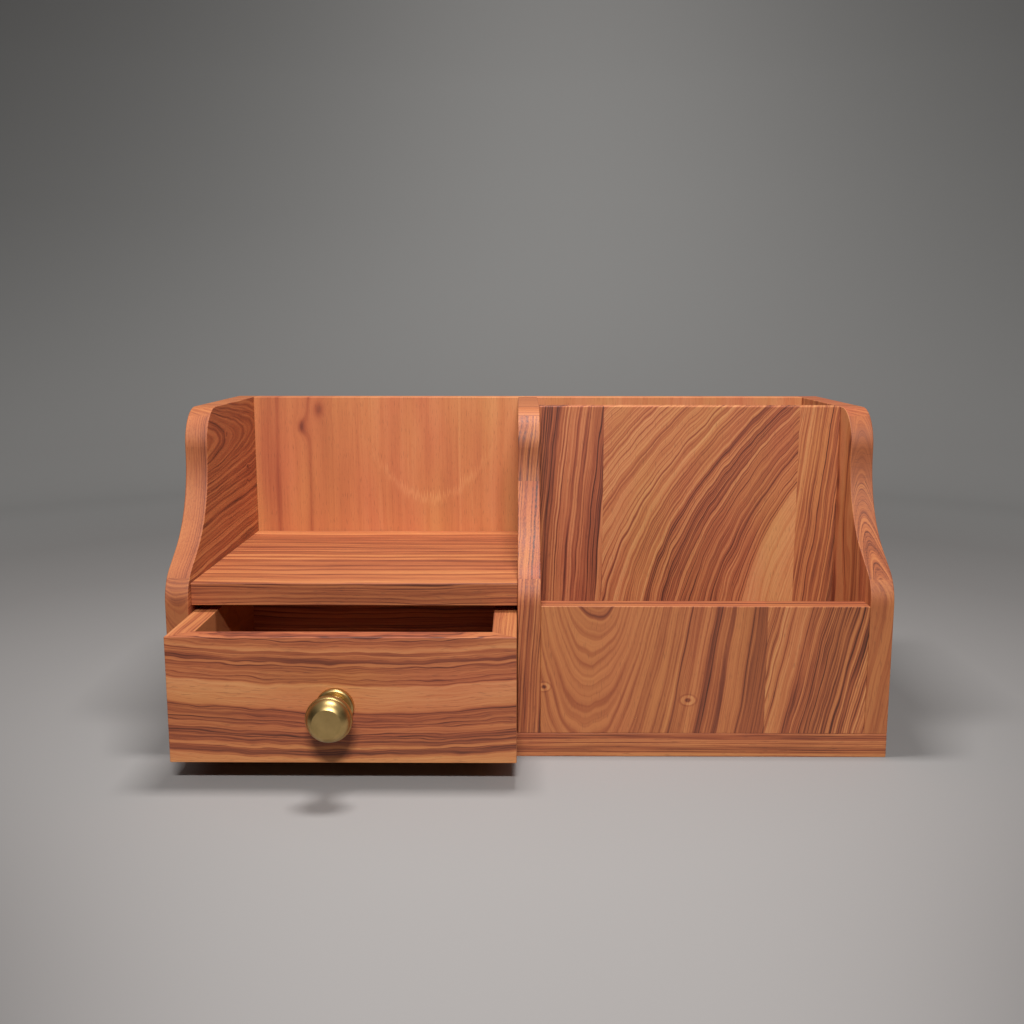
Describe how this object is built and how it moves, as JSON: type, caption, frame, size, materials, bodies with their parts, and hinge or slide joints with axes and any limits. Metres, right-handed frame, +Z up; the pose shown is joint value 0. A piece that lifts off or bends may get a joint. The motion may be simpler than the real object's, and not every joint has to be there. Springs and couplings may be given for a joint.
{
  "type": "desk organizer",
  "caption": "Wooden desk organizer: an open nook over a sliding drawer with a brass knob, beside a divided letter rack, between uprights with curved front edges.",
  "frame": {"origin": "middle of the underside of the base board, where it rests on the desk", "axes": "+X to the right as a user faces the drawer, +Y to the back, +Z up"},
  "size_m": [0.35, 0.2184, 0.167],
  "materials": {
    "case_wood": "satin oiled reddish hardwood",
    "drawer_wood": "satin oiled reddish hardwood",
    "dowel_wood": "plain beech",
    "panel_wood": "plain thin panel",
    "knob_brass": "turned and lightly aged",
    "screw_steel": "zinc plated"
  },
  "bodies": {
    "case": {"base_board": "case_wood", "left_side": "case_wood", "middle_side": "case_wood", "right_side": "case_wood", "back_panel": "case_wood", "shelf_board": "case_wood", "letter_front_left_stave": "case_wood", "letter_front_right_stave": "case_wood", "divider_left_stave": "case_wood", "divider_middle_stave": "case_wood", "divider_right_stave": "case_wood", "base_screws": "screw_steel", "shelf_dowels": "dowel_wood", "divider_dowels": "dowel_wood", "letter_front_dowels": "dowel_wood", "back_panel_dowels": "dowel_wood", "drawer_stops": "case_wood"},
    "drawer": {"drawer_front": "drawer_wood", "drawer_left_side": "drawer_wood", "drawer_right_side": "drawer_wood", "drawer_back": "drawer_wood", "drawer_bottom": "panel_wood", "drawer_corner_splines": "dowel_wood", "drawer_back_dowels": "dowel_wood", "knob": "knob_brass", "knob_washer": "screw_steel", "knob_screw": "screw_steel"}
  },
  "joints": [
    {"name": "drawer_slide", "type": "slide", "parent": "case", "child": "drawer", "axis": [0, -1, 0], "range_m": [-0.039, 0.052]}
  ]
}
